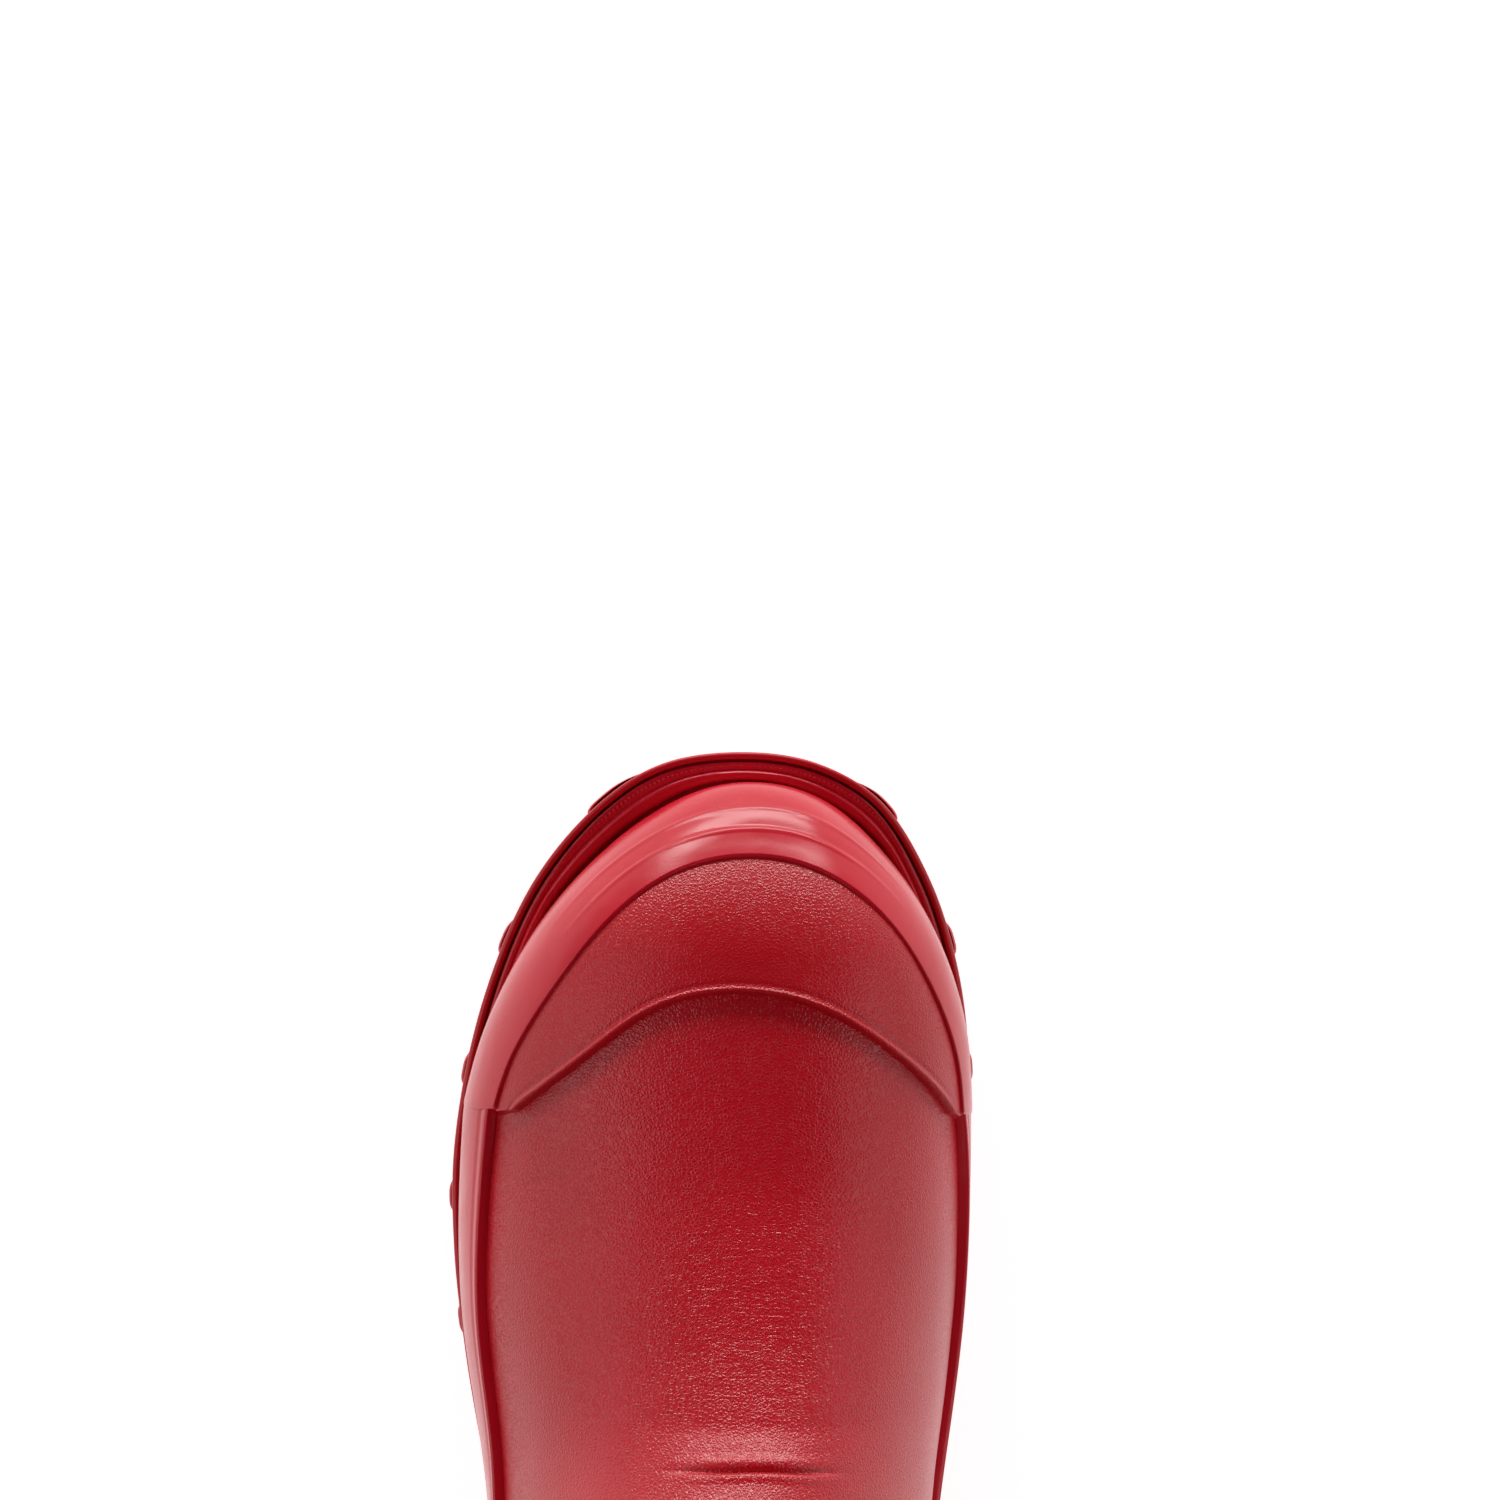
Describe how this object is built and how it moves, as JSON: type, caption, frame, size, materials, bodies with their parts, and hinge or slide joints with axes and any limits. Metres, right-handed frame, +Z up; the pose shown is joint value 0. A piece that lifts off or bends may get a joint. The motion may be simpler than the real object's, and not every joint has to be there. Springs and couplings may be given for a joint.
{
  "type": "rubber rain boot",
  "caption": "Left rubber rain boot with a toe cap, a ribbed toe rand, side foxing, a lugged sole, a round leg and a webbing pull loop at the back of the top line.",
  "frame": {"origin": "middle of the footprint of the whole boot, on the ground", "axes": "+Z up, -Y from heel to toe, +X to the outer side of the foot"},
  "size_m": [0.1104, 0.2926, 0.3329],
  "materials": {
    "upper_rubber": "semi-matte, fine leather grain",
    "trim_rubber": "smooth satin",
    "sole_rubber": "satin, slightly harder compound",
    "filler": "cork compound",
    "steel": "cold rolled",
    "board": "cellulose fibre board",
    "stiffener": "thermoplastic sheet",
    "lining": "knitted cotton blend",
    "foam": "open-cell foam",
    "knit": "brushed knit",
    "webbing": "flat woven tape"
  },
  "bodies": {
    "boot": {"outsole": "sole_rubber", "welt": "trim_rubber", "forefoot_filler": "filler", "heel_filler": "filler", "shank": "steel", "insole_board": "board", "vamp": "upper_rubber", "leg": "upper_rubber", "toe_cap": "upper_rubber", "toe_rand": "trim_rubber", "side_foxing": "trim_rubber", "heel_patch": "upper_rubber", "kick_spur": "sole_rubber", "back_stay": "trim_rubber", "top_band": "trim_rubber", "loop_anchor": "trim_rubber", "toe_puff": "stiffener", "heel_counter": "stiffener", "foot_lining": "lining", "leg_lining": "lining"},
    "insole": {"footbed": "foam", "footbed_cover": "knit"},
    "loop": {"pull_loop": "webbing"}
  },
  "joints": [
    {"name": "footbed_lift", "type": "hinge", "parent": "boot", "child": "insole", "pos_m": [-0.005, -0.1298, 0.0255], "axis": [1, 0, 0], "range_deg": [0, 8]},
    {"name": "loop_bend", "type": "hinge", "parent": "boot", "child": "loop", "pos_m": [0, 0.1413, 0.2989], "axis": [-1, 0, 0], "range_deg": [0, 85], "stiffness_Nm_per_rad": 0.006}
  ]
}
